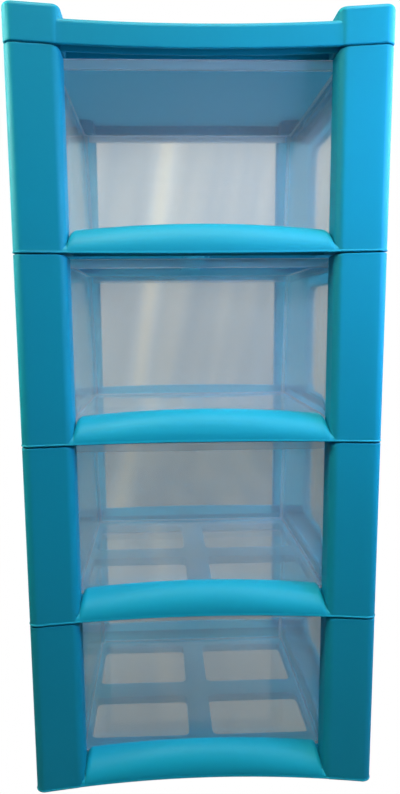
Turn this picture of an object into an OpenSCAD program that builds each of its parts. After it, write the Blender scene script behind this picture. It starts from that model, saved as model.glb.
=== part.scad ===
// Four-drawer plastic storage tower.
// Flat-pack side frames and grid shelves carry four clear drawer boxes. Each box wears
// a U-shaped moulded front: two pillars joined by a concave, arched nose.
// Origin: bottom centre. The fronts face -Y. Level 1 is the lowest drawer.

/* [Tower] */
// Overall width across the pillars
body_w = 370; // [330:1:420]
// Overall depth, from the corners of the fronts to the back
body_d = 380; // [340:1:430]
// Height of one drawer level
tier_h = 191; // [170:1:220]
// Height of the top cover at its corner caps
cover_h = 36; // [32:1:46]

/* [Drawer fronts] */
// Width of one pillar seen from the front
pillar_w = 53; // [45:1:60]
// How far the middle of a front lies behind its corners
front_sag = 16; // [8:1:20]
// Depth of a pillar on its outer side
pillar_depth = 45; // [40:1:55]
// Depth of a pillar on its window side
window_depth = 36.5; // [30:0.5:38]
// Radius of a pillar's upright edges
pillar_round = 10; // [6:1:12]
// Height of the nose in the middle
nose_mid_h = 32.5; // [28:0.5:36]
// Height of the nose at the pillars
nose_end_h = 25.5; // [20:0.5:30]
// How far the nose's face lies behind the pillars' faces
nose_set_back = 0.4; // [0.2:0.1:1]
// Wall of the moulded fronts
front_wall = 2.6; // [2:0.1:3.2]
// Radius of the pillar's inner corner at its top
pillar_top_round = 4; // [2:0.5:6]
// Gap between one front and the next
seam_gap = 1.2; // [0.8:0.1:2]

/* [Drawer boxes] */
// Wall and floor of the clear boxes
box_wall = 2.2; // [1.6:0.1:3]
// Outside width of a box at its rim
box_top_w = 296; // [270:1:300]
// How much narrower the box is at its floor
box_taper = 10; // [4:1:16]
// Depth of a box, from its front rim to its rear rim
box_depth = 298; // [260:1:300]
// How far the front wall leans back towards the floor
box_front_lean = 7.5; // [5:0.5:10]
// Radius of a box's upright edges
box_round = 9; // [5:1:12]
// Height of the rim band
rim_h = 9.5; // [6:0.5:11]
// How far the rim stands out from the walls
rim_out = 3; // [2:0.5:4]

/* [Side frames] */
// Wall of the side frames and the shelf
frame_wall = 3; // [2.4:0.1:4]
// Width of a rear post seen from behind
rear_post_w = 54; // [40:1:60]
// Width of a front post behind its pillar
front_post_w = 28; // [20:1:28]
// Depth of the side strip at each post
post_depth = 36; // [30:1:50]
// Height of the strip below and above a side window
side_rail_h = 20; // [14:1:30]
// Corner radius of a side window
side_window_round = 24; // [10:1:30]
// How far the flange round a side window stands in
window_flange = 5; // [3:0.5:8]
// Depth of the return along the inner edge of a rear post
post_return = 14; // [8:1:20]
// Width of the inner flange that the shelf rests on
ledge_w = 12; // [10:1:16]
// Thickness of that flange
ledge_h = 4; // [3:0.5:5]
// Diameter of the stacking pegs
peg_d = 7; // [5:0.5:8]

/* [Shelves] */
// Depth of the shelf's ribs
rib_depth = 10; // [8:1:11]
// Thickness of the ribs round the shelf windows
rib_w = 2.5; // [2:0.1:4]
// Width of the bar between the left and right shelf windows
centre_bar_w = 28; // [20:1:40]
// Width of the bar at the front of a shelf
front_bar_w = 29; // [24:1:36]
// Depth of the front shelf windows
front_row_l = 91; // [80:1:100]
// Width of the bar between the front and rear shelf windows
cross_bar_w = 35; // [26:1:44]
// Depth of the rear shelf windows
rear_row_l = 108; // [90:1:115]
// Width of the bars at the sides of a shelf
side_bar_w = 50; // [40:1:60]
// Corner radius of a shelf window
shelf_window_round = 8; // [3:1:15]
// Height of the rear rail in the middle
rear_rail_mid_h = 28; // [22:1:34]
// Height of the rear rail at its ends
rear_rail_end_h = 24; // [16:1:30]
// Height of the drawer guides above the shelf
guide_h = 7; // [4:1:10]

/* [Top cover] */
// Height of the rails between the corner caps
rail_h = 24; // [18:1:28]
// Depth of the rails seen from above
rail_depth = 22; // [16:1:30]
// Radius along the top edge of the rails
rail_round = 5; // [2:0.5:6]
// Width of a corner cap
cap_w = 54; // [44:1:60]
// How far the cap's top edge is drawn in
cap_top_inset = 4; // [2:0.5:6]
// Height of the tray floor above the cover's lower edge
tray_h = 20; // [16:1:21]

/* [Fits] */
// Clearance between parts that slot together
fit = 0.3; // [0.2:0.05:0.5]
// Clearance between a drawer box and what it slides along
slide_gap = 2; // [1:0.5:3]

/* [Hidden] */

turquoise = "#1ea0c8";
clear_grey = [0.78, 0.86, 0.92, 0.35];
cut = 1;                                   // how far cutting shapes run past a face
levels = 4;
half_w = body_w / 2;
front_y = -body_d / 2;
back_y = body_d / 2;
stack_h = levels * tier_h;
arc_half = half_w - pillar_round;
arc_r = (arc_half * arc_half + front_sag * front_sag) / (2 * front_sag);
window_half = half_w - pillar_w;
front_low = seam_gap / 2;
front_high = tier_h - seam_gap / 2;
arc_steps = 6;                             // points along a rounded corner
round_faces = 32;                          // facets of a small round hole, peg or corner
face_steps = 8;                            // points along a pillar's face
nose_steps = 26;                           // sections along the nose
nose_points = 9;                           // points round the nose's section

frame_front = front_y + pillar_depth + fit;
frame_inner = half_w - frame_wall;
shelf_half = frame_inner - fit;
shelf_front = frame_front + frame_wall + fit;
shelf_back = back_y - frame_wall - fit;
shelf_top = ledge_h + rib_depth;
runner_h = 1.5;
runner_w = 4;
runner_x = shelf_half - side_bar_w + rib_w + runner_w / 2;
box_low = shelf_top + runner_h + fit;
box_high = tier_h - seam_gap / 2 - slide_gap;
rim_front = front_y + window_depth + fit;
rim_clear_x = box_top_w / 2 + slide_gap;
box_front_top = rim_front + rim_out;
box_back_top = box_front_top + box_depth - 2 * rim_out;
box_half_top = box_top_w / 2 - rim_out;
guide_inner = rim_clear_x;
guide_w = 3;
guide_length_inset = 14;
peg_h = ledge_h - fit;
peg_x = frame_inner - ledge_w / 2;
peg_ys = [frame_front + post_depth / 2, back_y - post_depth / 2];
cap_lip = 0.5;                             // upright edge at the top of a cap
cap_inner = half_w - cap_w + pillar_round; // how far the rails reach into the caps
arc_faces = 720;
rail_low = seam_gap / 2;

// y of the fronts' concave face at x, measured from the corners
function face_y(x) = sqrt(arc_r * arc_r - x * x) - (arc_r - front_sag);

// Points of an arc round a centre, from one angle to the other
function arc_points(cx, cy, r, from, to, steps = arc_steps) =
    [for (i = [0:steps]) let (a = from + (to - from) * i / steps) [cx + r * cos(a), cy + r * sin(a)]];

// Rectangle with round corners as a list of points, anticlockwise
function round_rect(x0, x1, y0, y1, r) = concat(
    arc_points(x1 - r, y0 + r, r, -90, 0),
    arc_points(x1 - r, y1 - r, r, 0, 90),
    arc_points(x0 + r, y1 - r, r, 90, 180),
    arc_points(x0 + r, y0 + r, r, 180, 270));

// Plan of a pillar or cap between x0 and x1, drawn in by inset; the back steps at step_x
function pillar_plan(x0, x1, inset, back_in, back_out, step_x = rim_clear_x) =
    let (r = pillar_round - inset,
         in_x = x0 + pillar_round,
         out_x = x1 - pillar_round)
    concat(
        [[x0 + inset, back_in]],
        arc_points(in_x, face_y(in_x) + pillar_round, r, 180, 270),
        [for (i = [1:face_steps - 1]) let (x = in_x + (out_x - in_x) * i / face_steps) [x, face_y(x) + inset]],
        arc_points(out_x, face_y(out_x) + pillar_round, r, 270, 360),
        [[x1 - inset, back_out], [step_x, back_out], [step_x, back_in]]);

// Solid through a list of rings that all have the same number of points
module loft(rings) {
    n = len(rings[0]);
    last = len(rings) - 1;
    sides = [for (k = [0:last - 1], i = [0:n - 1]) let (j = (i + 1) % n)
        [k * n + i, (k + 1) * n + i, (k + 1) * n + j, k * n + j]];
    caps = [[for (i = [0:n - 1]) i], [for (i = [n - 1:-1:0]) last * n + i]];
    polyhedron(points = [for (ring = rings) each ring], faces = concat(sides, caps), convexity = 8);
}

// Flat shape drawn in y and z, thickened along +x from x
module side_plate(x, thickness) {
    translate([x, 0, 0]) rotate([90, 0, 90]) linear_extrude(thickness) children();
}

// Height of the nose's crest at x
function crest_h(x) = nose_mid_h - (nose_mid_h - nose_end_h) * pow(x / window_half, 2);

// Section of the nose at x: a quarter ellipse from the lower front edge to the crest at the back
function nose_section(x, inset, low) =
    let (y0 = face_y(x) + nose_set_back + inset, y1 = pillar_depth - inset, top = crest_h(x) - inset)
    concat(
        [[x, y0, low], [x, y1, low]],
        [for (i = [0:nose_points - 1]) let (a = 90 - 90 * i / nose_points)
            [x, y0 + (y1 - y0) * (1 - cos(a)), low + (top - low) * sin(a)]]);

module nose(reach, inset, low) {
    loft([for (i = [0:nose_steps]) nose_section(-reach + 2 * reach * i / nose_steps, inset, low)]);
}

// Pillar of a front on the +x side: a shell that is open at the back
module front_pillar() {
    difference() {
        translate([0, 0, front_low]) linear_extrude(front_high - front_low)
            polygon(pillar_plan(window_half, half_w, 0, window_depth, pillar_depth));
        translate([0, 0, front_low + front_wall]) linear_extrude(front_high - front_low - 2 * front_wall)
            polygon(pillar_plan(window_half, half_w, front_wall, pillar_depth + cut, pillar_depth + cut));
        pillar_top_corner();
    }
}

// What the round inner corner at the top of a pillar leaves out
module pillar_top_corner() {
    r = pillar_top_round;
    translate([window_half + r, pillar_depth + cut, front_high - r]) rotate([90, 0, 0])
        linear_extrude(pillar_depth + 2 * cut) difference() {
            translate([-r - cut, 0]) square([r + cut, r + cut]);
            circle(r, $fn = round_faces);
        }
}

module drawer_front(level) {
    reach = window_half + front_wall;
    color(turquoise) translate([0, front_y, (level - 1) * tier_h]) {
        difference() {
            union() {
                front_pillar();
                mirror([1, 0, 0]) front_pillar();
                nose(window_half + pillar_round - front_wall, 0, front_low);
            }
            nose(reach - 2 * front_wall, front_wall, front_low - cut);
        }
    }
}

// Ring of a box at height z, drawn in by inset; share is 0 at the floor and 1 at the rim
function box_ring(z, share, inset) =
    let (half = box_half_top - box_taper / 2 * (1 - share) - inset,
         y0 = box_front_top + box_front_lean * (1 - share) + inset,
         y1 = box_back_top - box_taper / 2 * (1 - share) - inset,
         r = max(box_round - inset, 1))
    [for (p = round_rect(-half, half, y0, y1, r)) [p[0], p[1], z]];

module drawer_box(level) {
    half = box_top_w / 2;
    floor_share = box_wall / (box_high - box_low);
    color(clear_grey) translate([0, 0, (level - 1) * tier_h]) difference() {
        union() {
            loft([box_ring(box_low, 0, 0), box_ring(box_high, 1, 0)]);
            translate([0, 0, box_high - rim_h]) linear_extrude(rim_h)
                polygon(round_rect(-half, half, rim_front, rim_front + box_depth, box_round + rim_out));
        }
        loft([box_ring(box_low + box_wall, floor_share, box_wall),
              box_ring(box_high + cut, 1, box_wall)]);
    }
}

// Outline of a side window in y and z, grown by grow
function side_window(grow) = round_rect(
    frame_front + post_depth - grow, back_y - post_depth + grow, side_rail_h - grow,
    tier_h - side_rail_h + grow, side_window_round + grow);

// Side frame of one level on the +x side
module side_frame_shape() {
    difference() {
        union() {
            side_plate(frame_inner, frame_wall)
                translate([frame_front, 0]) square([back_y - frame_front, tier_h]);
            // flange round the window
            side_plate(frame_inner - window_flange, window_flange + frame_wall / 2)
                polygon(side_window(frame_wall));
            // front post, behind the pillar
            translate([half_w - front_post_w, frame_front, 0])
                cube([front_post_w, frame_wall, tier_h]);
            // rear post and the return along its inner edge
            translate([half_w - rear_post_w, back_y - frame_wall, 0])
                cube([rear_post_w, frame_wall, tier_h]);
            translate([half_w - rear_post_w, back_y - post_return, rear_rail_mid_h + fit])
                cube([frame_wall, post_return, tier_h - rear_rail_mid_h - fit]);
            // ledge under the shelf and flange under the next level
            for (z = [0, tier_h - ledge_h])
                translate([frame_inner - ledge_w, frame_front, z])
                    cube([ledge_w + frame_wall / 2, back_y - frame_front, ledge_h]);
            for (y = peg_ys)
                translate([peg_x, y, tier_h - ledge_h])
                    cylinder(d = peg_d, h = ledge_h + peg_h, $fn = round_faces);
        }
        side_plate(frame_inner - window_flange - cut, window_flange + frame_wall + 2 * cut)
            polygon(side_window(0));
        for (y = peg_ys)
            translate([peg_x, y, -cut])
                cylinder(d = peg_d + 2 * fit, h = ledge_h + 2 * cut, $fn = round_faces);
    }
}

module side_frame_right(level) {
    color(turquoise) translate([0, 0, (level - 1) * tier_h]) side_frame_shape();
}

module side_frame_left(level) {
    color(turquoise) translate([0, 0, (level - 1) * tier_h]) mirror([1, 0, 0]) side_frame_shape();
}

// The four windows of a shelf, each grown by grow
module shelf_windows(grow) {
    x0 = centre_bar_w / 2 - grow;
    x1 = shelf_half - side_bar_w + grow;
    front_row = shelf_front + front_bar_w;
    rear_row = front_row + front_row_l + cross_bar_w;
    for (side = [0, 1], row = [[front_row, front_row_l], [rear_row, rear_row_l]])
        mirror([side, 0, 0])
            polygon(round_rect(x0, x1, row[0] - grow, row[0] + row[1] + grow, shelf_window_round + grow));
}

// Rear rail with an arched top, drawn in x and z
function rear_rail_points() = concat(
    [[shelf_half, ledge_h], [-shelf_half, ledge_h]],
    [for (i = [-face_steps:face_steps]) let (x = shelf_half * i / face_steps)
        [x, rear_rail_mid_h - (rear_rail_mid_h - rear_rail_end_h) * pow(x / shelf_half, 2)]]);

module shelf(level) {
    depth = shelf_back - shelf_front;
    color(turquoise) translate([0, 0, (level - 1) * tier_h]) {
        // plate with its four windows
        translate([0, 0, shelf_top - frame_wall]) linear_extrude(frame_wall) difference() {
            translate([-shelf_half, shelf_front]) square([2 * shelf_half, depth]);
            shelf_windows(0);
        }
        // ribs round the windows
        translate([0, 0, ledge_h]) linear_extrude(rib_depth - frame_wall / 2) difference() {
            shelf_windows(rib_w);
            shelf_windows(0);
        }
        // skirt round the plate
        translate([0, 0, ledge_h]) linear_extrude(rib_depth) difference() {
            translate([-shelf_half, shelf_front]) square([2 * shelf_half, depth]);
            translate([-shelf_half + frame_wall, shelf_front + frame_wall])
                square([2 * (shelf_half - frame_wall), depth - 2 * frame_wall]);
        }
        translate([0, shelf_back, 0]) rotate([90, 0, 0]) linear_extrude(frame_wall)
            polygon(rear_rail_points());
        // runners under the box and guides beside it
        for (side = [-1, 1]) {
            translate([side * runner_x - runner_w / 2,
                       shelf_front + guide_length_inset, shelf_top - frame_wall / 2])
                cube([runner_w, depth - 2 * guide_length_inset, runner_h + frame_wall / 2]);
            translate([side * (guide_inner + guide_w / 2) - guide_w / 2,
                       shelf_front + guide_length_inset, shelf_top - frame_wall / 2])
                cube([guide_w, depth - 2 * guide_length_inset, guide_h + frame_wall / 2]);
        }
    }
}

// Corner cap on the +x side at the front, drawn in towards its top
module front_cap() {
    x0 = half_w - cap_w;
    top_in = cap_top_inset;
    hull() {
        translate([0, 0, rail_low]) linear_extrude(cover_h - rail_low - top_in)
            polygon(pillar_plan(x0, half_w, 0, cap_w, cap_w));
        translate([0, 0, cover_h - cap_lip]) linear_extrude(cap_lip)
            polygon(pillar_plan(x0, half_w, top_in, cap_w - top_in, cap_w - top_in));
    }
}

module rear_cap() {
    x0 = half_w - cap_w;
    top_in = cap_top_inset;
    hull() {
        linear_extrude(cover_h - top_in)
            polygon(round_rect(x0, half_w, body_d - cap_w, body_d, pillar_round));
        translate([0, 0, cover_h - cap_lip]) linear_extrude(cap_lip)
            polygon(round_rect(x0 + top_in, half_w - top_in, body_d - cap_w + top_in, body_d - top_in,
                pillar_round - top_in));
    }
}

// Section of a rail with round top edges, drawn in by inset, from the height low
function rail_section(inset, low) = let (r = rail_round - inset / 2, top = rail_h - inset) concat(
    [[rail_depth - inset, low], [inset, low]],
    arc_points(inset + r, top - r, r, 180, 90),
    arc_points(rail_depth - inset - r, top - r, r, 90, 0));

// Concave front rail: a rounded bar carried round the arc of the fronts
module cover_front_rail(reach, inset, low) {
    angle = asin(reach / arc_r);
    translate([0, front_sag - arc_r, 0]) rotate([0, 0, 90 - angle])
        rotate_extrude(angle = 2 * angle, $fn = arc_faces)
            translate([arc_r, 0]) polygon(rail_section(inset, low));
}

// Straight rail along +x from x0, with its outer side at y = side_y
module cover_straight_rail(x0, length, side_y, inset, low) {
    translate([x0, side_y, 0]) mirror([0, 1, 0]) rotate([90, 0, 90]) linear_extrude(length)
        polygon(rail_section(inset, low));
}

// The two side rails and the rear rail, drawn in by inset
module cover_other_rails(inset, low) {
    length = body_d - 2 * (cap_w - cap_top_inset);
    cover_straight_rail(-cap_inner, 2 * cap_inner, body_d, inset, low);
    for (side = [0, 1]) mirror([side, 0, 0]) translate([0, body_d / 2, 0]) rotate([0, 0, -90])
        cover_straight_rail(-length / 2, length, half_w, inset, low);
}

module top_cover() {
    tray_front = front_sag + rail_depth - rail_round;
    color(turquoise) translate([0, front_y, stack_h]) difference() {
        union() {
            difference() {
                union() {
                    cover_front_rail(cap_inner, 0, rail_low);
                    cover_other_rails(0, 0);
                    for (side = [0, 1]) mirror([side, 0, 0]) {
                        front_cap();
                        rear_cap();
                    }
                }
                cover_hollows();
            }
            // tray floor
            translate([-half_w + rail_depth - frame_wall, tray_front, tray_h - frame_wall])
                cube([body_w - 2 * rail_depth + 2 * frame_wall,
                      body_d - tray_front - rail_depth + frame_wall, frame_wall]);
            cover_bosses(peg_d + 2 * fit + 2 * rib_w, tray_h);
        }
        translate([0, 0, -cut]) cover_bosses(peg_d + 2 * fit, ledge_h + cut);
    }
}

// Round posts over the stacking pegs; also what the pegs' sockets leave out
module cover_bosses(d, h) {
    for (side = [-1, 1], y = peg_ys)
        translate([side * peg_x, y - front_y, 0]) cylinder(d = d, h = h, $fn = round_faces);
}

// Open undersides of the rails and caps
module cover_hollows() {
    cover_front_rail(cap_inner - frame_wall, frame_wall, -cut);
    cover_other_rails(frame_wall, -cut);
    x0 = half_w - cap_w;
    depth = cover_h - cap_top_inset - frame_wall + cut;
    for (side = [0, 1]) mirror([side, 0, 0]) translate([0, 0, -cut]) linear_extrude(depth) {
        polygon(pillar_plan(x0, half_w, frame_wall, cap_w - frame_wall, cap_w - frame_wall));
        polygon(round_rect(x0 + frame_wall, half_w - frame_wall, body_d - cap_w + frame_wall,
            body_d - frame_wall, pillar_round - frame_wall));
    }
}

top_cover();
shelf(1);  // shelf_1
shelf(2);  // shelf_2
shelf(3);  // shelf_3
shelf(4);  // shelf_4
side_frame_left(1);  // side_frame_left_1
side_frame_left(2);  // side_frame_left_2
side_frame_left(3);  // side_frame_left_3
side_frame_left(4);  // side_frame_left_4
side_frame_right(1);  // side_frame_right_1
side_frame_right(2);  // side_frame_right_2
side_frame_right(3);  // side_frame_right_3
side_frame_right(4);  // side_frame_right_4
drawer_front(1);  // drawer_front_1
drawer_front(2);  // drawer_front_2
drawer_front(3);  // drawer_front_3
drawer_front(4);  // drawer_front_4
drawer_box(1);  // drawer_box_1
drawer_box(2);  // drawer_box_2
drawer_box(3);  // drawer_box_3
drawer_box(4);  // drawer_box_4
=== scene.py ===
import bpy
import math
import numpy as np
from mathutils import Matrix, Vector


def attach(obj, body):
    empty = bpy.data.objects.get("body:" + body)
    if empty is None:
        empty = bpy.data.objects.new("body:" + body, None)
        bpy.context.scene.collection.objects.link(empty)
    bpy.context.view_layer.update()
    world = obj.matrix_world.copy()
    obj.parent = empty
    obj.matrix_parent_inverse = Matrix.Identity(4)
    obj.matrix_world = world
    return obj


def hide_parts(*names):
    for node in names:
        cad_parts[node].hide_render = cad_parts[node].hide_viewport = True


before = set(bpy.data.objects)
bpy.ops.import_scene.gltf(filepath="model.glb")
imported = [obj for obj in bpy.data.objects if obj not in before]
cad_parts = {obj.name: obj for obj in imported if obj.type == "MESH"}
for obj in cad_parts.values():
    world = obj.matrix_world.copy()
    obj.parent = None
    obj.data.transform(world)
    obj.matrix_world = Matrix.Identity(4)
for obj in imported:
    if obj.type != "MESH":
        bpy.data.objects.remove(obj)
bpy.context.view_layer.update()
print("frame loaded")

# Lengths in the dictionaries are millimetres, unless a note gives another unit. Meshes are in metres.
mm = 0.001
levels = 4
tower = {
    "tierHeight": 191.0,
    "halfWidth": 185.0,
    "frontY": -190.0,
    "depth": 380.0,
    "faceSag": 16.0,          # how far the fronts' middle lies behind their corners
    "uprightRound": 10.0,
    "stackHeight": 764.0,
    "flatBackIn": 20.0,       # where a plan with a flat back has its spare point, in from the outer side
}
arcHalf = tower["halfWidth"] - tower["uprightRound"]
arcRadius = (arcHalf ** 2 + tower["faceSag"] ** 2) / (2 * tower["faceSag"])


# depth of the concave face at x: y = sqrt(R^2 - x^2) - (R - sag)
def faceY(x):
    return np.sqrt(arcRadius ** 2 - np.asarray(x, float) ** 2) - (arcRadius - tower["faceSag"])


# points of a circular arc: centre + radius (cos a, sin a), with a in degrees from start to end
def arc(cx, cy, radius, start, end, steps):
    a = np.radians(np.linspace(start, end, steps + 1))
    return np.column_stack([cx + radius * np.cos(a), cy + radius * np.sin(a)])


# rounded rectangle, anticlockwise from above: a quarter circle at each corner
def roundRect(x0, x1, y0, y1, radius, steps=8):
    r = radius
    return np.vstack([
        arc(x1 - r, y0 + r, r, -90, 0, steps), arc(x1 - r, y1 - r, r, 0, 90, steps),
        arc(x0 + r, y1 - r, r, 90, 180, steps), arc(x0 + r, y0 + r, r, 180, 270, steps)])


# a plan's points, all at height z
def raised(plan, z):
    return np.column_stack([plan, np.full(len(plan), z)])


# quads between consecutive rings of equal length, with a flat face on the first and the last ring
def ringShell(rings):
    rings = np.asarray(rings, float)
    rows, n = rings.shape[:2]
    i = np.arange(n)
    j = (i + 1) % n
    k = np.arange(rows - 1)[:, None] * n
    quads = np.stack([k + i, k + j, k + n + j, k + n + i], -1).reshape(-1, 4).tolist()
    quads.append(list(range(n - 1, -1, -1)))
    quads.append(list(range((rows - 1) * n, rows * n)))
    return rings.reshape(-1, 3), quads


def meshObject(name, points, faces):
    mesh = bpy.data.meshes.new(name)
    mesh.from_pydata((np.asarray(points) * mm).tolist(), [], faces)
    mesh.validate()
    mesh.update()
    obj = bpy.data.objects.new(name, mesh)
    bpy.context.scene.collection.objects.link(obj)
    return obj


# upright block between two opposite corners
def block(name, low, high):
    plan = np.array([[low[0], low[1]], [high[0], low[1]], [high[0], high[1]], [low[0], high[1]]], float)
    return meshObject(name, *ringShell([raised(plan, low[2]), raised(plan, high[2])]))


# joins closed shells into one, then takes the cutters away from it
def carve(name, solids, cutters):
    base = solids[0]
    for operation, tools in (("UNION", solids[1:]), ("DIFFERENCE", cutters)):
        for tool in tools:
            step = base.modifiers.new("carve", "BOOLEAN")
            step.operation = operation
            step.solver = "EXACT"
            step.object = tool
    graph = bpy.context.evaluated_depsgraph_get()
    mesh = bpy.data.meshes.new_from_object(base.evaluated_get(graph))
    mesh.name = name
    for old in solids + cutters:
        bpy.data.objects.remove(old)
    obj = bpy.data.objects.new(name, mesh)
    bpy.context.scene.collection.objects.link(obj)
    return obj


# smooth shading that stays sharp where two faces meet at more than the given angle
def smooth(obj, degrees=32):
    mesh = obj.data
    mesh.polygons.foreach_set("use_smooth", np.ones(len(mesh.polygons), bool))
    mesh.set_sharp_from_angle(angle=math.radians(degrees))
    weighted = obj.modifiers.new("normals", "WEIGHTED_NORMAL")
    weighted.keep_sharp = True
    weighted.weight = 80


# turns a piece into its mirror image in x, with its faces still outwards
def mirror(obj):
    obj.data.transform(Matrix.Diagonal((-1, 1, 1, 1)))
    obj.data.flip_normals()


# copy of a piece, with the move applied to its mesh
def moved(obj, name, dy=0, dz=0):
    copy = bpy.data.objects.new(name, obj.data.copy())
    copy.data.transform(Matrix.Translation((0, dy * mm, dz * mm)))
    bpy.context.scene.collection.objects.link(copy)
    return copy


# sRGB hex colour as linear light: c / 12.92 up to 0.04045, ((c + 0.055) / 1.055) ^ 2.4 above it
def linear(hexColour):
    c = np.array([int(hexColour[i:i + 2], 16) for i in (1, 3, 5)]) / 255
    c = np.where(c <= 0.04045, c / 12.92, ((c + 0.055) / 1.055) ** 2.4)
    return (*c.tolist(), 1.0)


# adds a shader node with its properties, sets or links its sockets, and returns it
# a socket takes a value, another node's output, or another node, which then gives its first output
def addNode(tree, kind, sockets=None, **settings):
    node = tree.nodes.new("ShaderNode" + kind)
    for key, value in settings.items():
        setattr(node, key, value)
    for key, value in (sockets or {}).items():
        if isinstance(value, bpy.types.Node):
            value = value.outputs[0]
        if isinstance(value, bpy.types.NodeSocket):
            tree.links.new(value, node.inputs[key])
        else:
            node.inputs[key].default_value = value
    return node


def newMaterial(name):
    material = bpy.data.materials.new(name)
    material.use_nodes = True
    material.node_tree.nodes.clear()
    return material, material.node_tree


# Moulded polypropylene: one even turquoise, a satin sheen that varies a little, and a fine stipple
plasticLook = {
    "colour": "#0ba2c0",
    "deepColour": "#0a97b3",
    "blotchWidth": 140.0,
    "blotchDetail": 2.0,
    "blotchRoughness": 0.5,
    "blotchLow": 0.3,              # the noise values between which the sheen changes
    "blotchHigh": 0.7,
    "stippleWidth": 1.4,
    "stippleDepth": 0.09,
    "stippleDetail": 2.0,
    "stippleRoughness": 0.6,
    "stippleStrength": 0.35,
    "roughLow": 0.52,
    "roughHigh": 0.62,
    "index": 1.49,
    "gloss": 0.2,
    "passColour": "#78dcf0",
    "trayPassColour": "#7ec8e4",   # the tray's floor is seen from below, bluer than the rest
    "frontPass": 0.08,             # shares of the light that each moulding lets through
    "coverPass": 0.05,             # the cover's rails and lip are thicker, so they stay dark from below
    "trayPass": 0.42,
    "framePass": 0.74,             # the thin frames and shelves let the most through
}


def turquoisePlastic(name, share, passColour):
    look = plasticLook
    material, tree = newMaterial(name)
    place = addNode(tree, "TexCoord").outputs["Object"]
    blotch = addNode(tree, "TexNoise", {
        "Vector": place, "Scale": 1 / (look["blotchWidth"] * mm),
        "Detail": look["blotchDetail"], "Roughness": look["blotchRoughness"]})
    stipple = addNode(tree, "TexNoise", {
        "Vector": place, "Scale": 1 / (look["stippleWidth"] * mm),
        "Detail": look["stippleDetail"], "Roughness": look["stippleRoughness"]})
    # on a colour Mix node the sockets 6 and 7 take the colours, and output 2 gives the mixed one
    tint = addNode(tree, "Mix", {
        0: blotch, 6: linear(look["colour"]), 7: linear(look["deepColour"])}, data_type="RGBA")
    sheen = addNode(tree, "MapRange", {
        "Value": blotch, "From Min": look["blotchLow"], "From Max": look["blotchHigh"],
        "To Min": look["roughLow"], "To Max": look["roughHigh"]})
    bump = addNode(tree, "Bump", {
        "Height": stipple, "Strength": look["stippleStrength"], "Distance": look["stippleDepth"] * mm})
    shader = addNode(tree, "BsdfPrincipled", {
        "Base Color": tint.outputs[2], "Roughness": sheen, "Normal": bump,
        "IOR": look["index"], "Specular IOR Level": look["gloss"]})
    glow = addNode(tree, "BsdfTranslucent", {"Color": linear(passColour)})
    surface = addNode(tree, "MixShader", {0: share, 1: shader, 2: glow})
    addNode(tree, "OutputMaterial", {"Surface": surface})
    return material


# Clear random polypropylene: a slight milky haze over sharp reflections, faint grey-blue
# light falls through it
clearLook = {
    "colour": "#f6fafc",
    "index": 1.49,
    "roughness": 0.05,
    "waveWidth": 60.0,        # long, shallow waves of the moulded walls
    "waveDetail": 1.0,
    "waveStrength": 0.12,
    "waveDepth": 0.8,
    "hazeColour": "#f4f8fa",
    "haze": 0.09,
    "hazePass": 0.5,          # share of the haze that is lit from behind
    "bandAndLineHaze": 0.26,          # the thick rim band is milkier than the walls; the painted highlight lines at the rear corners and the foot take the same share
    "rimLow": 178.9,          # where the band starts in each level
    "topHighlight": 0.7,           # its upper edge is a painted highlight: a light line of milky white
    "topHighlightLow": 187.4,
    "foot": 19.4,             # height where the walls meet the floor; a milky line there is a painted highlight along the rounded foot
    "footBand": 1.2,          # half of its width
    "draft": 5.0,             # how far the walls lean out up to the rim
    "cornerHighlightX": 134.0,         # the rear upright corners are painted milky beyond these two distances, a painted highlight along each
    "cornerHighlightY": 131.0,
    "sideFrom": 137.0,        # beyond this x the textured side walls start: softer, less of a mirror
    "sideIndex": 1.05,
    "sideRoughness": 0.10,
}


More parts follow.
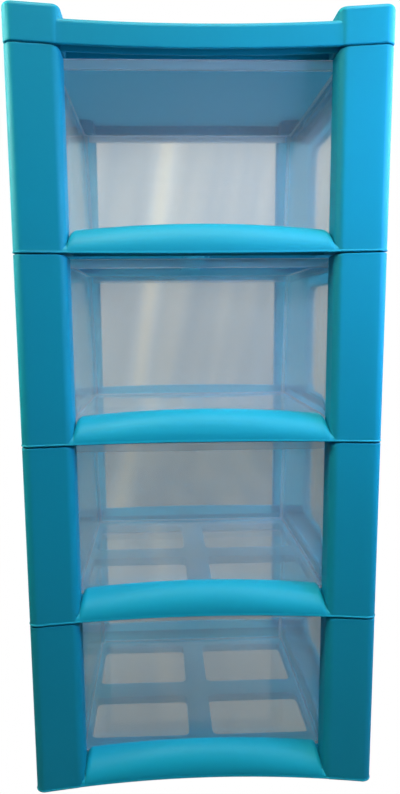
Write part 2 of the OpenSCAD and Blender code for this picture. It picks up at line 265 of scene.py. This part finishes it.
def clearPlastic():
    look = clearLook
    material, tree = newMaterial("clear polypropylene")
    place = addNode(tree, "TexCoord").outputs["Object"]
    wave = addNode(tree, "TexNoise", {
        "Vector": place, "Scale": 1 / (look["waveWidth"] * mm), "Detail": look["waveDetail"]})
    bump = addNode(tree, "Bump", {
        "Height": wave, "Strength": look["waveStrength"], "Distance": look["waveDepth"] * mm})

    # masks over the box: its side walls, rim band, and the painted highlights at its upper edge, foot line
    # and rear corners
    axes = addNode(tree, "SeparateXYZ", {0: place}).outputs
    across = addNode(tree, "Math", {0: axes["X"]}, operation="ABSOLUTE")
    inLevel = addNode(tree, "Math", {0: axes["Z"], 1: tower["tierHeight"] * mm}, operation="MODULO")
    atSide = addNode(tree, "Math", {0: across, 1: look["sideFrom"] * mm}, operation="GREATER_THAN")
    atFront = addNode(tree, "Math", {0: 1.0, 1: atSide}, operation="SUBTRACT")
    atRim = addNode(tree, "Math", {0: inLevel, 1: look["rimLow"] * mm}, operation="GREATER_THAN")
    rim = addNode(tree, "Math", {0: atRim, 1: atFront}, operation="MULTIPLY")
    # painted highlight: above this height the box turns milky, a light line along its upper edge
    atTopHighlight = addNode(tree, "Math", {0: inLevel, 1: look["topHighlightLow"] * mm}, operation="GREATER_THAN")
    # painted highlight: a milky line along the foot of the walls
    foot = addNode(tree, "Math", {
        0: inLevel, 1: look["foot"] * mm, 2: look["footBand"] * mm}, operation="COMPARE")

    # distances from the drafted walls: |x| and y less the draft gained since the floor
    draft = addNode(tree, "MapRange", {
        "Value": inLevel, "From Min": look["foot"] * mm, "From Max": tower["tierHeight"] * mm,
        "To Max": look["draft"] * mm})
    alongX = addNode(tree, "Math", {0: across, 1: draft}, operation="SUBTRACT")
    alongY = addNode(tree, "Math", {0: axes["Y"], 1: draft}, operation="SUBTRACT")
    # painted highlight: milky lines at the rear upright corners stand in for the light that their rounds
    # catch
    nearX = addNode(tree, "Math", {0: alongX, 1: look["cornerHighlightX"] * mm}, operation="GREATER_THAN")
    nearY = addNode(tree, "Math", {0: alongY, 1: look["cornerHighlightY"] * mm}, operation="GREATER_THAN")
    corner = addNode(tree, "Math", {0: nearX, 1: nearY}, operation="MULTIPLY")

    # the milky share: the most of the band, and painted highlights as milky lines at the corners, the foot
    # line and the upper edge
    thick = addNode(tree, "Math", {0: rim, 1: corner}, operation="MAXIMUM")
    thicker = addNode(tree, "Math", {0: thick, 1: foot}, operation="MAXIMUM")
    hazeThere = addNode(tree, "MapRange", {
        "Value": thicker, "To Min": look["haze"], "To Max": look["bandAndLineHaze"]})
    topHighlight = addNode(tree, "Math", {0: atTopHighlight, 1: look["topHighlight"]}, operation="MULTIPLY")
    hazeAndPaintedLines = addNode(tree, "Math", {0: hazeThere, 1: topHighlight}, operation="MAXIMUM")

    index = addNode(tree, "MapRange", {
        "Value": atSide, "To Min": look["index"], "To Max": look["sideIndex"]})
    softness = addNode(tree, "MapRange", {
        "Value": atSide, "To Min": look["roughness"], "To Max": look["sideRoughness"]})
    glass = addNode(tree, "BsdfPrincipled", {
        "Base Color": linear(look["colour"]), "Roughness": softness, "IOR": index,
        "Transmission Weight": 1.0, "Normal": bump})
    milkFront = addNode(tree, "BsdfDiffuse", {"Color": linear(look["hazeColour"])})
    milkThrough = addNode(tree, "BsdfTranslucent", {"Color": linear(look["hazeColour"])})
    milk = addNode(tree, "MixShader", {0: look["hazePass"], 1: milkFront, 2: milkThrough})
    hazy = addNode(tree, "MixShader", {0: hazeAndPaintedLines, 1: glass, 2: milk})

    # shadow and diffuse rays pass straight through, so the pieces behind are lit without noise
    rays = addNode(tree, "LightPath").outputs
    soft = addNode(tree, "Math", {
        0: rays["Is Shadow Ray"], 1: rays["Is Diffuse Ray"]}, operation="MAXIMUM")
    through = addNode(tree, "BsdfTransparent", {"Color": linear(look["colour"])})
    surface = addNode(tree, "MixShader", {0: soft, 1: hazy, 2: through})
    addNode(tree, "OutputMaterial", {"Surface": surface})
    return material


frontPlastic = turquoisePlastic(
    "turquoise moulded polypropylene", plasticLook["frontPass"], plasticLook["passColour"])
trayPlastic = turquoisePlastic(
    "turquoise polypropylene of the tray", plasticLook["trayPass"], plasticLook["trayPassColour"])
coverPlastic = turquoisePlastic(
    "thick turquoise polypropylene", plasticLook["coverPass"], plasticLook["passColour"])
framePlastic = turquoisePlastic(
    "thin turquoise polypropylene", plasticLook["framePass"], plasticLook["passColour"])
clear = clearPlastic()
print("materials made")

# Drawer fronts: two pillars joined by the concave, arched nose
front = {
    "pillarWidth": 53.0,
    "pillarDepth": 45.0,
    "windowDepth": 36.5,        # depth of a pillar beside the window
    "backStepX": 150.0,         # where its back steps from one depth to the other
    "low": 0.6,
    "high": 190.4,
    "wall": 2.6,
    "edgeRound": 0.9,
    "innerTopRound": 4.0,
    "innerTopShare": 0.97,      # how far that round is followed before the flat top closes it
    "hollowPast": 5.0,          # how far the pillars' hollow is cut past their back
    "noseMid": 32.5,
    "noseEnd": 25.5,
    "noseSetBack": 0.4,
    "noseBackRound": 2.5,
    "noseSections": 56,
    "noseEndLength": 7.0,
    "noseEndDrop": 9.0,
    "noseEndSections": 12,
    "noseHollowRound": 0.5,
    "noseHollowBelow": 2.0,     # how far the nose's hollow is cut past its foot
    "beadHeight": 1.5,          # thin bead along the foot of a front
    "beadStep": 0.5,            # how far the face lies behind the bead
    "beadFade": 0.7,            # height of the smooth step between the two
    "beadRows": 0.9,            # height over which a pillar has closer rings for it
    "beadAngles": (4.2, 5.2, 6.2),   # degrees at which the nose has extra points for it
    "rowGap": 0.2,              # rings of a pillar lie no closer than this to the added ones
}
windowHalf = tower["halfWidth"] - front["pillarWidth"]


# plan of a pillar or a cap on the +x side, drawn in by inset: rounds at both ends of a stretch of the arc
def pillarPlan(x0, x1, inset, backIn, backOut, stepX, steps=9, faceSteps=10):
    r = tower["uprightRound"]
    inX, outX = x0 + r, x1 - r
    faceX = np.linspace(inX, outX, faceSteps + 1)[1:-1]
    return np.vstack([
        [[x0 + inset, backIn]],
        arc(inX, faceY(inX) + r, r - inset, 180, 270, steps),
        np.column_stack([faceX, faceY(faceX) + inset]),
        arc(outX, faceY(outX) + r, r - inset, 270, 360, steps),
        [[x1 - inset, backOut], [stepX, backOut], [stepX, backIn]]])


# heights and insets of an upright edge that a quarter circle rounds at its foot and another at its top:
# height r (1 - cos a) from the end, inset r (1 - sin a)
def roundedRows(low, high, footRound, topRound, middle, steps):
    a = np.radians(np.linspace(0, 90, steps + 1))
    foot = np.column_stack([low + footRound * (1 - np.cos(a)), footRound * (1 - np.sin(a))])
    top = np.column_stack([high - topRound * (1 - np.cos(a)), topRound * (1 - np.sin(a))])[::-1]
    zs = np.linspace(low + footRound, high - topRound, middle + 2)[1:-1]
    return np.vstack([foot, np.column_stack([zs, np.zeros(middle)]), top])


# how far the face lies behind the bead at height z: step (3 t^2 - 2 t^3), t from 0 to 1 over the fade
def bead(z):
    f = front
    t = np.clip((z - f["low"] - f["beadHeight"]) / f["beadFade"], 0, 1)
    return f["beadStep"] * t * t * (3 - 2 * t)


# one ring per height; near the top the window side draws in by r (1 - sqrt(1 - t^2))
def pillarSolid(name):
    f = front
    rows = roundedRows(f["low"], f["high"], f["edgeRound"], f["edgeRound"], middle=6, steps=5)
    foot = f["low"] + f["beadHeight"] + np.linspace(0, f["beadRows"], 5)
    corner = f["high"] - f["innerTopRound"]
    top = np.linspace(corner, f["high"] - f["edgeRound"], 6)[:-1]
    between = (rows[:, 0] > foot[-1] + f["rowGap"]) & (rows[:, 0] < corner)
    rows = np.vstack([
        rows[rows[:, 0] < foot[0] - f["rowGap"]],
        np.column_stack([foot, 0 * foot]),
        rows[between],
        np.column_stack([top, 0 * top]),
        rows[rows[:, 0] > top[-1] + f["rowGap"]]])
    rings = []
    for z, inset in rows:
        t = np.clip((z - corner) / f["innerTopRound"], 0, f["innerTopShare"])
        drawn = f["innerTopRound"] * (1 - math.sqrt(1 - t ** 2))
        plan = pillarPlan(windowHalf + drawn, tower["halfWidth"], inset + bead(z),
                          f["windowDepth"], f["pillarDepth"], f["backStepX"])
        rings.append(raised(plan, z))
    return meshObject(name, *ringShell(rings))


def pillarHollow(name):
    f = front
    back = f["pillarDepth"] + f["hollowPast"]
    plan = pillarPlan(windowHalf, tower["halfWidth"], f["wall"],
                      back, back, tower["halfWidth"] - tower["flatBackIn"])
    return meshObject(name, *ringShell([
        raised(plan, f["low"] + f["wall"]), raised(plan, f["high"] - f["wall"])]))


# crest of the nose at x: mid - (mid - end) (x / half)^2 - drop (1 - sqrt(1 - t^2))
# t runs from 0 to 1 over the nose's last stretch
def crest(x):
    f = front
    t = np.clip((abs(x) - windowHalf + f["noseEndLength"]) / f["noseEndLength"], 0, 1)
    drop = f["noseEndDrop"] * (1 - np.sqrt(1 - t * t))
    return float(f["noseMid"] - (f["noseMid"] - f["noseEnd"]) * (x / windowHalf) ** 2 - drop)


# section of the nose at x: flat underside, small round at the lower edge, then up to the crest along
# y = y0 + depth (1 - cos a), z = z0 + height sin a, and a round back edge
def noseSection(x, inset, low, edge):
    f = front
    y0, y1 = float(faceY(x)) + f["noseSetBack"] + inset, f["pillarDepth"] - inset
    top = crest(x) - inset
    back = f["noseBackRound"]
    a = np.radians(np.linspace(0, 90, 25))
    a = np.sort(np.append(a, np.radians(f["beadAngles"])))[1:]
    z = low + edge + (top - low - edge) * np.sin(a)
    rise = np.column_stack([y0 + (y1 - back - y0) * (1 - np.cos(a)), z])
    foot = arc(y0 + edge, low + edge, edge, 270, 180, 4)
    if inset == 0:
        rise[:, 0] += bead(z)
    rear = arc(y1 - back, top - back, back, 90, 0, 5)[1:]
    yz = np.vstack([foot, rise, rear, [[y1, low]]])[::-1]
    return np.column_stack([np.full(len(yz), x), yz])


# even sections between the ends, closer ones at x = even + length sin a, and a last one at reach
def noseSolid(name, reach, inset, low, edge):
    f = front
    even = windowHalf - f["noseEndLength"]
    a = np.radians(np.linspace(0, 90, f["noseEndSections"] + 1)[1:])
    end = np.append(even + f["noseEndLength"] * np.sin(a), reach)
    end = np.unique(end[end <= reach])
    xs = np.concatenate([-end[::-1], np.linspace(-even, even, f["noseSections"] + 1), end])
    return meshObject(name, *ringShell([noseSection(x, inset, low, edge) for x in xs]))


def drawerFront():
    f = front
    right = pillarSolid("pillar")
    left = moved(right, "pillarLeft")
    mirror(left)
    hollow = pillarHollow("hollow")
    hollowLeft = moved(hollow, "hollowLeft")
    mirror(hollowLeft)
    reach = windowHalf + tower["uprightRound"] - f["wall"]
    bar = noseSolid("nose", reach, 0, f["low"], f["edgeRound"])
    barHollow = noseSolid("noseHollow", windowHalf - f["wall"], f["wall"],
                          f["low"] - f["noseHollowBelow"], f["noseHollowRound"])
    pillars = carve("pillars", [right, left], [hollow, hollowLeft])
    return carve("front", [pillars, bar], [barHollow])


frontShape = drawerFront()
for level in range(1, levels + 1):
    piece = moved(frontShape, f"front{level}", dy=tower["frontY"], dz=(level - 1) * tower["tierHeight"])
    piece.data.materials.clear()
    piece.data.materials.append(frontPlastic)
    smooth(piece)
    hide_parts(f"drawer_front_{level}")
    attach(piece, f"drawer_{level}")
bpy.data.objects.remove(frontShape)
print("drawer fronts made")

# Clear drawer boxes: tapered, open at the top, with a rim band
box = {
    "rimWidth": 296.0,
    "rimFront": -153.2,
    "depth": 298.0,
    "low": 15.8,
    "high": 188.4,
    "wall": 2.2,
    "taper": 10.0,
    "frontLean": 7.5,
    "uprightRound": 9.0,
    "leastRound": 0.6,          # the upright corners keep at least this radius
    "rimHeight": 9.5,
    "rimOut": 3.0,
    "footRound": 3.5,
    "innerFootRound": 2.5,
    "lipRound": 0.9,
    "sharpDegrees": 40,
}


# ring of the box at height z, a rounded rectangle that grows evenly with
# share = (z - low) / (high - low), 0 at the floor and 1 at the rim
def boxRing(z, inset, out=0.0):
    b = box
    share = (z - b["low"]) / (b["high"] - b["low"])
    half = b["rimWidth"] / 2 - b["rimOut"] - b["taper"] / 2 * (1 - share)
    y0 = b["rimFront"] + b["rimOut"] + b["frontLean"] * (1 - share)
    y1 = b["rimFront"] + b["depth"] - b["rimOut"] - b["taper"] / 2 * (1 - share)
    grow = inset - out
    radius = max(b["uprightRound"] - grow, b["leastRound"])
    return raised(roundRect(-half + grow, half - grow, y0 + grow, y1 - grow, radius, 10), z)


# rings up the outside, over the rim and down the inside; each round is r (1 - cos a) by r (1 - sin a)
def drawerBox():
    b = box
    rings = []
    a = np.radians(np.linspace(0, 90, 6))
    for c, s in zip(np.cos(a), np.sin(a)):
        rings.append(boxRing(b["low"] + b["footRound"] * (1 - c), b["footRound"] * (1 - s)))
    bandLow = b["high"] - b["rimHeight"]
    for z in np.linspace(b["low"] + b["footRound"], bandLow, 6)[1:]:
        rings.append(boxRing(z, 0))
    lip = b["lipRound"]
    rings.append(boxRing(bandLow, 0, b["rimOut"] - lip))
    for c, s in zip(np.cos(a[1:]), np.sin(a[1:])):
        rings.append(boxRing(bandLow + lip * (1 - c), 0, b["rimOut"] - lip + lip * s))
    for c, s in zip(np.cos(a[::-1]), np.sin(a[::-1])):
        rings.append(boxRing(b["high"] - lip * (1 - c), 0, b["rimOut"] - lip + lip * s))
    for c, s in zip(np.cos(a), np.sin(a)):
        rings.append(boxRing(b["high"] - lip * (1 - c), b["wall"] + lip * (1 - s)))
    floor = b["low"] + b["wall"]
    inner = b["innerFootRound"]
    for z in np.linspace(b["high"] - lip, floor + inner, 6)[1:-1]:
        rings.append(boxRing(z, b["wall"]))
    for c, s in zip(np.cos(a[::-1]), np.sin(a[::-1])):
        rings.append(boxRing(floor + inner * (1 - c), b["wall"] + inner * (1 - s)))
    return meshObject("box", *ringShell(rings))


boxShape = drawerBox()
for level in range(1, levels + 1):
    piece = moved(boxShape, f"box{level}", dz=(level - 1) * tower["tierHeight"])
    piece.data.materials.append(clear)
    smooth(piece, box["sharpDegrees"])
    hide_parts(f"drawer_box_{level}")
    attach(piece, f"drawer_{level}")
bpy.data.objects.remove(boxShape)
print("drawer boxes made")

# Top cover: round rails, corner caps and tray floor
cover = {
    "height": 36.0,
    "railHeight": 24.0,
    "railDepth": 22.0,
    "railRound": 5.0,
    "railSetBack": 1.1,         # the front rail lies a little behind the caps' faces
    "railSections": 48,
    "hollowSections": 32,
    "railOverlap": 4.0,         # how far the side rails run into the caps
    "capWidth": 54.0,
    "capRound": 5.0,
    "capRoof": 7.0,             # thickness of a cap's top
    "edgeRound": 1.4,
    "hollowRound": 0.4,
    "wall": 3.0,
    "trayHeight": 20.0,
    "low": 0.6,
    "hollowLow": -2.0,          # the hollows are cut from below the foot
    "trayFlat": 0.99,           # least upright share of a normal on the tray's faces
    "traySlack": 0.1,
}


# section of a rail as (distance from its outer side, height), with a round at each of its four edges
def railSection(inset, low):
    c = cover
    r = c["railRound"] - inset / 2
    e = c["edgeRound"] if inset == 0 else c["hollowRound"]
    d, top = c["railDepth"] - inset, c["railHeight"] - inset
    return np.vstack([
        arc(inset + e, low + e, e, 270, 180, 3),
        arc(inset + r, top - r, r, 180, 90, 8),
        arc(d - r, top - r, r, 90, 0, 8),
        arc(d - e, low + e, e, 0, -90, 3)])[::-1]


# rail carried round the arc of the fronts: (R sin a, R cos a - (R0 - sag)), R = R0 + distance
def curvedRail(name, reach, inset, low, sections):
    yz = railSection(inset, low)
    yz[:, 0] += cover["railSetBack"]
    rings = []
    for a in np.linspace(-1, 1, sections + 1) * math.asin(reach / arcRadius):
        radius = arcRadius + yz[:, 0]
        rings.append(np.column_stack([
            radius * math.sin(a), radius * math.cos(a) - (arcRadius - tower["faceSag"]), yz[:, 1]]))
    return meshObject(name, *ringShell(rings))


# straight rail from start to end; inward is the direction from its outer side to its inner side
def straightRail(name, start, end, inward, inset, low):
    dz = railSection(inset, low)
    rings = [
        np.column_stack([p[0] + inward[0] * dz[:, 0], p[1] + inward[1] * dz[:, 0], dz[:, 1]])
        for p in (start, end)]
    along = np.array(end) - np.array(start)
    if along[0] * inward[1] - along[1] * inward[0] < 0:
        rings = [ring[::-1] for ring in rings]
    return meshObject(name, *ringShell(rings))


def frontCapPlan(inset):
    c, t = cover, tower
    back = c["capWidth"] - inset
    return pillarPlan(t["halfWidth"] - c["capWidth"], t["halfWidth"], inset,
                      back, back, t["halfWidth"] - t["flatBackIn"])


def rearCapPlan(inset):
    c, t = cover, tower
    return roundRect(t["halfWidth"] - c["capWidth"] + inset, t["halfWidth"] - inset,
                     t["depth"] - c["capWidth"] + inset, t["depth"] - inset, t["uprightRound"] - inset)


def topCover():
    c, t = cover, tower
    half, depth = t["halfWidth"], t["depth"]
    inner = half - c["capWidth"] + t["uprightRound"]
    solids = [curvedRail("rail", inner, 0, c["low"], c["railSections"])]
    cutters = [curvedRail("railHollow", inner - c["wall"], c["wall"], c["hollowLow"], c["hollowSections"])]
    sideStart = c["capWidth"] - c["railOverlap"]
    sideEnd = depth - sideStart
    for inset, low, group in ((0, 0, solids), (c["wall"], c["hollowLow"], cutters)):
        group.append(straightRail("rear", (-inner, depth), (inner, depth), (0, -1), inset, low))
        group.append(straightRail("right", (half, sideStart), (half, sideEnd), (-1, 0), inset, low))
        group.append(straightRail("left", (-half, sideStart), (-half, sideEnd), (1, 0), inset, low))

    hollowRows = [(c["hollowLow"], c["wall"]), (c["height"] - c["capRoof"], c["wall"])]
    caps = (
        (frontCapPlan, roundedRows(c["low"], c["height"], c["edgeRound"], c["capRound"], 0, 6), solids),
        (rearCapPlan, roundedRows(0, c["height"], c["edgeRound"], c["capRound"], 0, 6), solids),
        (frontCapPlan, hollowRows, cutters),
        (rearCapPlan, hollowRows, cutters))
    for onLeft in (False, True):
        for plan, rows, group in caps:
            cap = meshObject("cap", *ringShell([raised(plan(inset), z) for z, inset in rows]))
            if onLeft:
                mirror(cap)
            group.append(cap)
    rim = carve("rim", solids, cutters)

    trayFront = t["faceSag"] + c["railDepth"] - c["railRound"]
    trayHalf = half - c["railDepth"] + c["wall"]
    trayBack = depth - c["railDepth"] + c["wall"]
    tray = block("tray", (-trayHalf, trayFront, c["trayHeight"] - c["wall"]),
                 (trayHalf, trayBack, c["trayHeight"]))
    return carve("cover", [rim, tray], [])


coverShape = topCover()
coverPiece = moved(coverShape, "topCover", dy=tower["frontY"], dz=tower["stackHeight"])
bpy.data.objects.remove(coverShape)
coverPiece.data.materials.clear()
coverPiece.data.materials.append(coverPlastic)
coverPiece.data.materials.append(trayPlastic)
# the thin tray floor lets more light through than the rails
# its upper and lower faces have a plastic of their own
sides = coverPiece.data.polygons
flatness = np.array([side.normal.z for side in sides])
heights = np.array([side.center.z for side in sides]) / mm - tower["stackHeight"]
trayLow = cover["trayHeight"] - cover["wall"] - cover["traySlack"]
trayHigh = cover["trayHeight"] + cover["traySlack"]
onTray = (np.abs(flatness) > cover["trayFlat"]) & (heights > trayLow) & (heights < trayHigh)
sides.foreach_set("material_index", onTray.astype(np.int32))
smooth(coverPiece)
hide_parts("top_cover")
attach(coverPiece, "carcass")

# down-standing lip behind the front rail; it shows as the dark line over the top drawer
lip = {"halfWidth": 131.0, "y": -143.0, "thickness": 3.0, "low": 763.8, "high": 781.5}
lipPiece = block("coverLip", (-lip["halfWidth"], lip["y"], lip["low"]),
                 (lip["halfWidth"], lip["y"] + lip["thickness"], lip["high"]))
lipPiece.data.materials.append(coverPlastic)
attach(lipPiece, "carcass")
print("top cover made")

# Side frames and shelves keep their CAD shapes; a small bevel breaks their edges
frameEdge = {"width": 0.6, "segments": 2, "fromDegrees": 40}
for name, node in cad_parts.items():
    if name.startswith(("shelf", "side_frame")):
        node.data.materials.clear()
        node.data.materials.append(framePlastic)
        edge = node.modifiers.new("edges", "BEVEL")
        edge.width = frameEdge["width"] * mm
        edge.segments = frameEdge["segments"]
        edge.limit_method = "ANGLE"
        edge.angle_limit = math.radians(frameEdge["fromDegrees"])
        edge.harden_normals = True

# down-standing lips along the rear of the upper shelves; they close the view over the boxes' rear rims
shelfLip = {"halfWidth": 130.9, "y": 183.8, "thickness": 3.0, "below": 7.0, "above": 5.0}
for level in range(2, levels + 1):
    foot = (level - 1) * tower["tierHeight"]
    piece = block(f"shelfLip{level}",
                  (-shelfLip["halfWidth"], shelfLip["y"], foot - shelfLip["below"]),
                  (shelfLip["halfWidth"], shelfLip["y"] + shelfLip["thickness"], foot + shelfLip["above"]))
    piece.data.materials.append(framePlastic)
    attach(piece, "carcass")
print("carcass dressed")

# What the clear drawers show behind them: a painted, glowing grey room, lighter towards the top, with
# faint upright streaks
room = {
    "topColour": "#d6d8d9",
    "lowColour": "#82888a",
    "greyLow": -100.0,        # heights between which one grey turns into the other
    "greyHigh": 900.0,
    "warm": "#fff0d8",
    "cool": "#e4edf6",
    "streak": 0.13,
    "streakWidth": 75.0,
    "streakStretch": (1, 0.12, 0.08),   # the noise is drawn out in depth and height
    "streakDetail": 2.0,
    "streakLow": 0.3,         # the noise values between which a streak goes from dark to light
    "streakHigh": 0.7,
    "lean": 9.0,              # degrees the streaks lean to the right towards their top
    "sun": 0.42,              # one broader streak of painted warm light, left of the middle
    "sunX": -160.0,
    "sunWidth": 66.0,
    "sunLean": 8.0,
}


# white to the camera, a painted glow of the grey room through the clear plastic, and the other surface to
# all other light
def stageShader(tree, other):
    place = addNode(tree, "NewGeometry").outputs["Position"]
    height = addNode(tree, "SeparateXYZ", {0: place}).outputs["Z"]
    rise = addNode(tree, "MapRange", {
        "Value": height, "From Min": room["greyLow"] * mm, "From Max": room["greyHigh"] * mm})
    grey = addNode(tree, "Mix", {
        0: rise, 6: linear(room["lowColour"]), 7: linear(room["topColour"])}, data_type="RGBA")

    # the broad streak of painted warm light falls smoothly from 1 at its middle to 0 at its width
    leaned = addNode(tree, "Mapping", {
        "Vector": place, "Rotation": (0, -math.radians(room["sunLean"]), 0)})
    leanedX = addNode(tree, "SeparateXYZ", {0: leaned}).outputs["X"]
    away = addNode(tree, "Math", {0: leanedX, 1: -room["sunX"] * mm}, operation="ADD")
    apart = addNode(tree, "Math", {0: away}, operation="ABSOLUTE")
    sun = addNode(tree, "MapRange", {
        "Value": apart, "From Max": room["sunWidth"] * mm, "To Min": 1.0, "To Max": 0.0},
        interpolation_type="SMOOTHSTEP")

    # the faint streaks are noise, leaned and then drawn out
    leaning = addNode(tree, "Mapping", {
        "Vector": place, "Rotation": (0, -math.radians(room["lean"]), 0)})
    stretched = addNode(tree, "Mapping", {"Vector": leaning, "Scale": room["streakStretch"]})
    streaks = addNode(tree, "TexNoise", {
        "Vector": stretched, "Scale": 1 / (room["streakWidth"] * mm), "Detail": room["streakDetail"]})
    warmth = addNode(tree, "Math", {0: streaks, 1: sun}, operation="MAXIMUM")
    cast = addNode(tree, "Mix", {
        0: warmth, 6: linear(room["cool"]), 7: linear(room["warm"])}, data_type="RGBA")
    tinted = addNode(tree, "Mix", {
        0: 1.0, 6: grey.outputs[2], 7: cast.outputs[2]}, data_type="RGBA", blend_type="MULTIPLY")
    shade = addNode(tree, "MapRange", {
        "Value": streaks, "From Min": room["streakLow"], "From Max": room["streakHigh"],
        "To Min": 1 - room["streak"], "To Max": 1 + room["streak"]})
    strength = addNode(tree, "Math", {0: sun, 1: room["sun"], 2: shade}, operation="MULTIPLY_ADD")

    rays = addNode(tree, "LightPath").outputs
    # painted light: the room is a glowing picture, with its lighter top and warm patch painted in
    behind = addNode(tree, "Emission", {"Color": tinted.outputs[2], "Strength": strength})
    white = addNode(tree, "Emission", {"Color": (1, 1, 1, 1), "Strength": 1.0})
    inside = addNode(tree, "MixShader", {0: rays["Is Transmission Ray"], 1: other, 2: behind})
    shown = addNode(tree, "MixShader", {0: rays["Is Camera Ray"], 1: inside, 2: white})
    addNode(tree, "OutputMaterial", {"Surface": shown})


# Floor and backdrop: the floor is darker to the light than it looks, so that it doesn't light the fronts
stage = {
    "halfWidth": 4000.0,
    "front": -3000.0,
    "back": 1600.0,
    "high": 4000.0,
    "floorColour": "#6d7477",
    "backdropColour": "#c8ccce",
    "aroundColour": "#efeee8",
    "aroundStrength": 0.02,
}


def stagePiece(name, corners, colour):
    material, tree = newMaterial("pale studio " + name)
    stageShader(tree, addNode(tree, "BsdfDiffuse", {"Color": linear(colour)}))
    piece = meshObject(name, corners, [[0, 1, 2, 3]])
    piece.data.materials.append(material)


wide, back = stage["halfWidth"], stage["back"]
stagePiece("floor", [
    [-wide, stage["front"], 0], [wide, stage["front"], 0], [wide, back, 0], [-wide, back, 0]],
    stage["floorColour"])
stagePiece("backdrop", [
    [-wide, back, 0], [wide, back, 0], [wide, back, stage["high"]], [-wide, back, stage["high"]]],
    stage["backdropColour"])

world = bpy.data.worlds.new("studio")
bpy.context.scene.world = world
world.use_nodes = True
world.node_tree.nodes.clear()
around = addNode(world.node_tree, "Background", {
    "Color": linear(stage["aroundColour"]), "Strength": stage["aroundStrength"]})
white = addNode(world.node_tree, "Background", {"Color": (1, 1, 1, 1), "Strength": 1.0})
rays = addNode(world.node_tree, "LightPath").outputs
shown = addNode(world.node_tree, "MixShader", {0: rays["Is Camera Ray"], 1: around, 2: white})
addNode(world.node_tree, "OutputWorld", {"Surface": shown})

# each lamp: place and aim in metres, size in metres, power in watts
lamps = {
    "steep": {
        "place": (0.05, -0.62, 2.6), "aim": (0, -0.18, 0.4),
        "size": 0.7, "watts": 56, "colour": "#fffce4"},
    "key": {
        "place": (0.47, -0.40, 0.74), "aim": (0.17, -0.18, 0.56),
        "size": 0.3, "watts": 4.8, "colour": "#b8ceff"},
    "left": {
        "place": (-0.62, -0.22, 0.86), "aim": (0.17, -0.17, 0.5),
        "size": 0.3, "watts": 6.0, "colour": "#fff8dc"},
    "side": {
        "place": (1.1, 0.1, 1.0), "aim": (0.15, 0.0, 0.45),
        "size": 0.6, "watts": 12, "colour": "#f2f6ff"},
    "rear": {
        "place": (0.2, 1.2, 1.0), "aim": (0, 0.1, 0.4),
        "size": 1.0, "watts": 28, "colour": "#f4f8ff"},
}


# turn that points a lamp's -Z axis from its place to its aim
def aimed(place, aim):
    return (Vector(aim) - Vector(place)).to_track_quat("-Z", "Y").to_matrix().to_4x4()


for name, lamp in lamps.items():
    data = bpy.data.lights.new(name, "AREA")
    data.size = lamp["size"]
    data.energy = lamp["watts"]
    data.color = linear(lamp["colour"])[:3]
    obj = bpy.data.objects.new(name, data)
    obj.visible_camera = False
    obj.visible_transmission = False
    obj.visible_glossy = name != "rear"
    obj.matrix_world = Matrix.Translation(lamp["place"]) @ aimed(lamp["place"], lamp["aim"])
    bpy.context.scene.collection.objects.link(obj)

# camera fitted to the photograph: place in metres, angles in radians
shot = {
    "place": (-0.04145, -0.89395, 0.50926),
    "down": 0.15589,
    "turn": 0.0396,
    "roll": -0.0085,
    "lens": 32.0,
    "sensor": 36.0,
    "shiftX": 0.01267,
    "shiftY": 0.04135,
    "nearest": 0.01,
}
camera = bpy.data.objects.new("camera", bpy.data.cameras.new("camera"))
camera.data.lens = shot["lens"]
camera.data.sensor_width = shot["sensor"]
camera.data.shift_x = shot["shiftX"]
camera.data.shift_y = shot["shiftY"]
camera.data.clip_start = shot["nearest"]
camera.matrix_world = (
    Matrix.Translation(shot["place"])
    @ Matrix.Rotation(-shot["turn"], 4, "Z")
    @ Matrix.Rotation(math.pi / 2 - shot["down"], 4, "X")
    @ Matrix.Rotation(shot["roll"], 4, "Z"))
bpy.context.scene.collection.objects.link(camera)
bpy.context.scene.camera = camera
bpy.context.scene.view_settings.view_transform = "Standard"
print("stage set")
